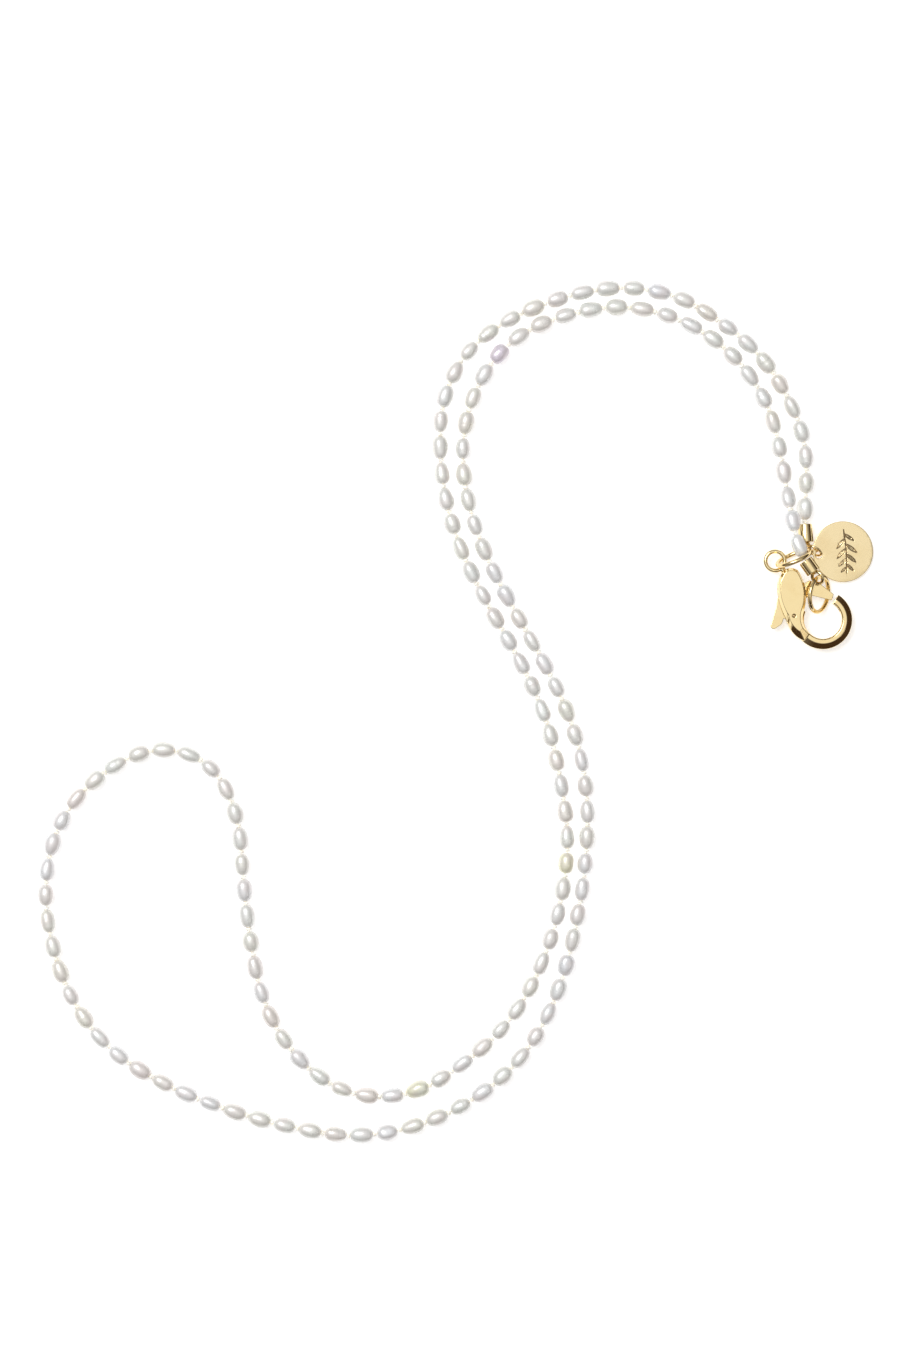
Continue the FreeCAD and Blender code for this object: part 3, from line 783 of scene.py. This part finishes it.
def tag_face(lines):
    """The flat face: its points, with those of the rim and then the hole first, and its triangles."""
    rim_r = TAG_D / 2
    points = [Vector((x, y)) * (rim_r - RIM_ROUNDING) for x, y in unit_circle(RIM_SIDES)]
    points += [TAG_HOLE_AT + Vector((x, y)) * (TAG_HOLE_R + HOLE_ROUNDING) for x, y in unit_circle(HOLE_SIDES)]
    edges = [(i, (i + 1) % RIM_SIDES) for i in range(RIM_SIDES)]
    edges += [(RIM_SIDES + i, RIM_SIDES + (i + 1) % HOLE_SIDES) for i in range(HOLE_SIDES)]
    rows = int(2 * rim_r / FINE_STEP)
    every = int(COARSE_STEP / FINE_STEP)
    for i in range(rows + 1):
        for j in range(rows + 1):
            x = -rim_r + (i + 0.5 * (j % 2)) * FINE_STEP
            y = -rim_r + j * FINE_STEP * ROW_SHARE
            point = Vector((x, y))
            if math.hypot(x, y) > rim_r - RIM_ROUNDING - RIM_CLEAR:
                continue
            if (point - TAG_HOLE_AT).length < TAG_HOLE_R + HOLE_CLEAR:
                continue
            coarse = i % every == 0 and j % every == 0
            by_sprig = abs(y) < SPRIG_HALF_H and abs(x) < SPRIG_HALF_W
            if coarse or (by_sprig and engraved_depth(x, y, lines)[1] < LINE_CLEAR):
                points.append(point)
    flat, _, tris, *_ = geometry.delaunay_2d_cdt(points, edges, [], 0, 1e-6)
    inside = []
    for tri in tris:
        centre = sum((flat[i] for i in tri), Vector((0, 0))) / 3
        if centre.length < rim_r and (centre - TAG_HOLE_AT).length > TAG_HOLE_R + HOLE_TRIM:
            inside.append(tuple(tri))
    return flat, inside


def rounding(step, cut):
    """A rounded edge from face to face: how far out a step is, from 0 to 1, and its height."""
    half = TAG_T / 2
    angle = math.pi * step / (2 * ROUNDING_STEPS)
    if step < ROUNDING_STEPS:
        return math.sin(angle), half - cut * (1 - math.cos(angle))
    if step == ROUNDING_STEPS:
        return 1.0, 0.0
    return math.sin(angle), -half + cut * (1 + math.cos(angle))


def make_tag(material):
    """A thin round tag with rounded rims, a drilled hole and an engraved sprig."""
    lines = sprig_lines()
    flat, inside = tag_face(lines)
    depths = [engraved_depth(p.x, p.y, lines)[0] for p in flat]
    half = TAG_T / 2
    verts = [Vector((p.x, p.y, half - depth)) for p, depth in zip(flat, depths)]
    below = len(verts)
    verts += [Vector((p.x, p.y, -half)) for p in flat]
    faces = inside + [tuple(below + i for i in reversed(tri)) for tri in inside]
    for loop_start, count, centre, radius, cut, way in (
        (0, RIM_SIDES, Vector((0, 0)), TAG_D / 2, RIM_ROUNDING, 1),
        (RIM_SIDES, HOLE_SIDES, TAG_HOLE_AT, TAG_HOLE_R, HOLE_ROUNDING, -1),
    ):
        rows = [[loop_start + i for i in range(count)]]
        for step in range(1, 2 * ROUNDING_STEPS):
            grow, height = rounding(step, cut)
            reach = radius - way * cut * (1 - grow)
            rows.append([len(verts) + i for i in range(count)])
            verts += [Vector((centre.x + x * reach, centre.y + y * reach, height)) for x, y in unit_circle(count)]
        rows.append([below + loop_start + i for i in range(count)])
        for upper, lower in zip(rows, rows[1:]):
            for i in range(count):
                k = (i + 1) % count
                quad = (upper[i], lower[i], lower[k], upper[k])
                faces.append(quad if way > 0 else tuple(reversed(quad)))
    place = (
        Matrix.Translation(TAG_AT * MM)
        @ Matrix.Rotation(TAG_HOLE_TURN, 4, "Z")
        @ Matrix.Rotation(-TAG_LIFT, 4, "Y")
        @ Matrix.Scale(MM, 4)
    )
    piece = new_piece("round_tag", [place @ v for v in verts], faces, material, "charm")
    engraved = piece.data.attributes.new("engraved", "FLOAT", "POINT")
    shares = [depth / LINE_DEPTH for depth in depths]
    engraved.data.foreach_set("value", shares + [0.0] * (len(verts) - len(shares)))
    piece.data.set_sharp_from_angle(angle=math.radians(32))
    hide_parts("charm_disc")


# ================================================================ stage, light and camera
TABLE_HALF = 3.0
TABLE_DROP = 0.00005  # keeps the table's face clear of the pieces that lie on it
SUN_SIDE = 0.22  # how much brighter the sky is on the side of -X and +Y
CAMERA_AT = (-0.0008, 0.0072, 0.752)
# Soft boxes, each aimed at the origin: name, place, width, power in watts and tint.
SOFT_BOXES = (
    ("key_softbox", (-0.36, 0.33, 0.92), 0.5, 5.6, (0.97, 0.99, 1.0)),
    ("top_softbox", (0.0, 0.05, 1.15), 1.0, 1.55, (1.0, 1.0, 1.0)),
    ("fill_softbox", (0.7, -0.35, 0.6), 0.3, 0.3, (1.0, 0.95, 0.9)),
)


def make_stage():
    """A white table, a studio sky, three soft boxes and a camera straight above."""
    scene = bpy.context.scene
    scene.view_settings.view_transform = "Standard"
    scene.view_settings.look = "None"
    floor_mesh = bpy.data.meshes.new("table_top")
    corners = [(x * TABLE_HALF, y * TABLE_HALF, 0) for x, y in ((-1, -1), (1, -1), (1, 1), (-1, 1))]
    floor_mesh.from_pydata(corners, [], [(0, 1, 2, 3)])
    floor = bpy.data.objects.new("table_top", floor_mesh)
    floor.location.z = -TABLE_DROP
    scene.collection.objects.link(floor)
    material, _, shader, _ = new_material("table_white")
    shader.inputs["Base Color"].default_value = (0.85, 0.85, 0.85, 1)
    shader.inputs["Roughness"].default_value = 0.6
    shader.inputs["Specular IOR Level"].default_value = 0.2
    shader.inputs["Emission Color"].default_value = (1, 1, 1, 1)
    shader.inputs["Emission Strength"].default_value = 0.5
    floor_mesh.materials.append(material)

    world = bpy.data.worlds.new("studio")
    scene.world = world
    world.use_nodes = True
    n = Nodes(world.node_tree)
    background = world.node_tree.nodes["Background"]
    way = n.add("ShaderNodeSeparateXYZ", {0: n.add("ShaderNodeTexCoord").outputs["Generated"]}).outputs
    lit_side = n.math("SUBTRACT", n.math("MULTIPLY", way["Y"], SUN_SIDE), n.math("MULTIPLY", way["X"], SUN_SIDE))
    level = n.span(n.math("ADD", way["Z"], lit_side), 0.3, 1.0, 0.0, 1.0)
    sky = n.mix(level, (0.10, 0.06, 0.035, 1), (1.0, 1.0, 1.02, 1))
    world.node_tree.links.new(sky, background.inputs["Color"])
    background.inputs["Strength"].default_value = 0.6

    for name, at, width, power, tint in SOFT_BOXES:
        lamp = bpy.data.lights.new(name, "AREA")
        lamp.shape = "RECTANGLE"
        lamp.size, lamp.size_y = width, width
        lamp.energy = power
        lamp.color = tint
        light = bpy.data.objects.new(name, lamp)
        light.location = at
        light.rotation_euler = (-Vector(at)).to_track_quat("-Z", "Y").to_euler()
        scene.collection.objects.link(light)

    lens = bpy.data.cameras.new("camera")
    lens.lens = 100
    lens.sensor_width = 36
    lens.clip_start = 0.01
    camera = bpy.data.objects.new("camera", lens)
    camera.location = CAMERA_AT
    scene.collection.objects.link(camera)
    scene.camera = camera


# ================================================================ build
# Where the findings lie at rest, in millimetres.
# End caps: name, node, middle of the mouth, middle of the eye, and the way the eye faces.
CAPS = (
    ("outer_cap", "end_cap_outer", (70.2, 37.3, 1.85), (70.55, 32.45, 2.25), (0.82, 0, 0.57)),
    ("inner_cap", "end_cap_inner", (70.0, 30.0, 4.9), (72.4, 26.6, 5.15), (-0.669, -0.298, 0.681)),
)
# Jump rings: name, node, body, middle, the way the ring faces, outer width, wire, and the angle of the seam.
RING_D, RING_WIRE_D = 8.0, 0.9
TAG_RING_D, TAG_RING_WIRE_D = 3.75, 0.5
RINGS = (
    ("clasp_link_ring", "clasp_ring", "clasp_link", (67.81, 30.57, 4.0), tilted((0.918, 0.396, 0), 77.6),
     RING_D, RING_WIRE_D, 1.2),
    ("catch_link_ring", "catch_ring", "catch_link", (72.88, 23.32, 3.42), tilted((-0.174, -0.985, 0), 54.8),
     RING_D, RING_WIRE_D, 4.0),
    ("tag_ring", "charm_ring", "charm_link", (71.93, 32.09, 1.84), (0.451, 0.814, -0.366),
     TAG_RING_D, TAG_RING_WIRE_D, 2.2),
)

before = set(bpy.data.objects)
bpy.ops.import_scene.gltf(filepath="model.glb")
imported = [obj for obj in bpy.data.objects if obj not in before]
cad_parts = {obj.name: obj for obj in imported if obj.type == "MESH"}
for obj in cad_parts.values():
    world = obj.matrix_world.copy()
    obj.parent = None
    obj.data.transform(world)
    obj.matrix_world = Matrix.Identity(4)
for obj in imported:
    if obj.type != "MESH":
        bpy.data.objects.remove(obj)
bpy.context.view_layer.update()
make_stage()

nacre, gold, silk = nacre_group(), gold_group(), silk_group()
pearl = pearl_material(nacre)
DEEP_GOLD = (0.74, 0.52, 0.22, 1)
gold_cast = gold_material(
    "gold_cast", gold, (0.86, 0.69, 0.37, 1), DEEP_GOLD,
    roughness=0.07, smudges=0.05, scratches=0.35, scale=1.0)
gold_wire = gold_material(
    "gold_drawn_wire", gold, (0.85, 0.66, 0.34, 1), DEEP_GOLD,
    roughness=0.09, smudges=0.05, scratches=0.2, scale=1.3)
gold_sheet = gold_material(
    "gold_sheet", gold, (0.88, 0.72, 0.42, 1), DEEP_GOLD,
    roughness=0.13, smudges=0.08, scratches=0.6, scale=0.7, engraved=True)
gold_pin = gold_material(
    "gold_pin", gold, (0.45, 0.33, 0.17, 1), (0.3, 0.2, 0.1, 1),
    roughness=0.25, smudges=0.1, scratches=0.5, scale=2.0)
spring_strip = gold_material(
    "spring_strip", gold, (0.56, 0.54, 0.5, 1), (0.4, 0.37, 0.33, 1),
    roughness=0.28, smudges=0.1, scratches=0.9, scale=1.0)
thread_silk = silk_material(
    "silk_thread", silk, (0.97, 0.95, 0.89, 1), (0.93, 0.88, 0.78, 1), height=0.02 * MM)
knot_silk = silk_material(
    "silk_knots", silk, (0.98, 0.95, 0.88, 1), (0.94, 0.88, 0.76, 1), height=0.03 * MM)

line = Line(read_thread_line())
thread = make_thread(line, thread_silk)
pearl_runs = make_pearls(line, pearl)
knots = make_knots(line, knot_silk)
end_knots = make_end_knots(line, knot_silk)

for cap in CAPS:
    make_cap(*cap, gold_cast)
for ring in RINGS:
    make_ring(*ring, gold_wire)
make_casting("clasp_casting", "clasp_body", "clasp", gold_cast, voxel=0.07 * MM, smoothing=5)
make_casting("lever_casting", "clasp_lever", "lever", gold_cast, voxel=0.06 * MM, smoothing=3)
make_pin(gold_pin)
make_tag(gold_sheet)
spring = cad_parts["lever_spring"]
spring.data.materials.clear()
spring.data.materials.append(spring_strip)
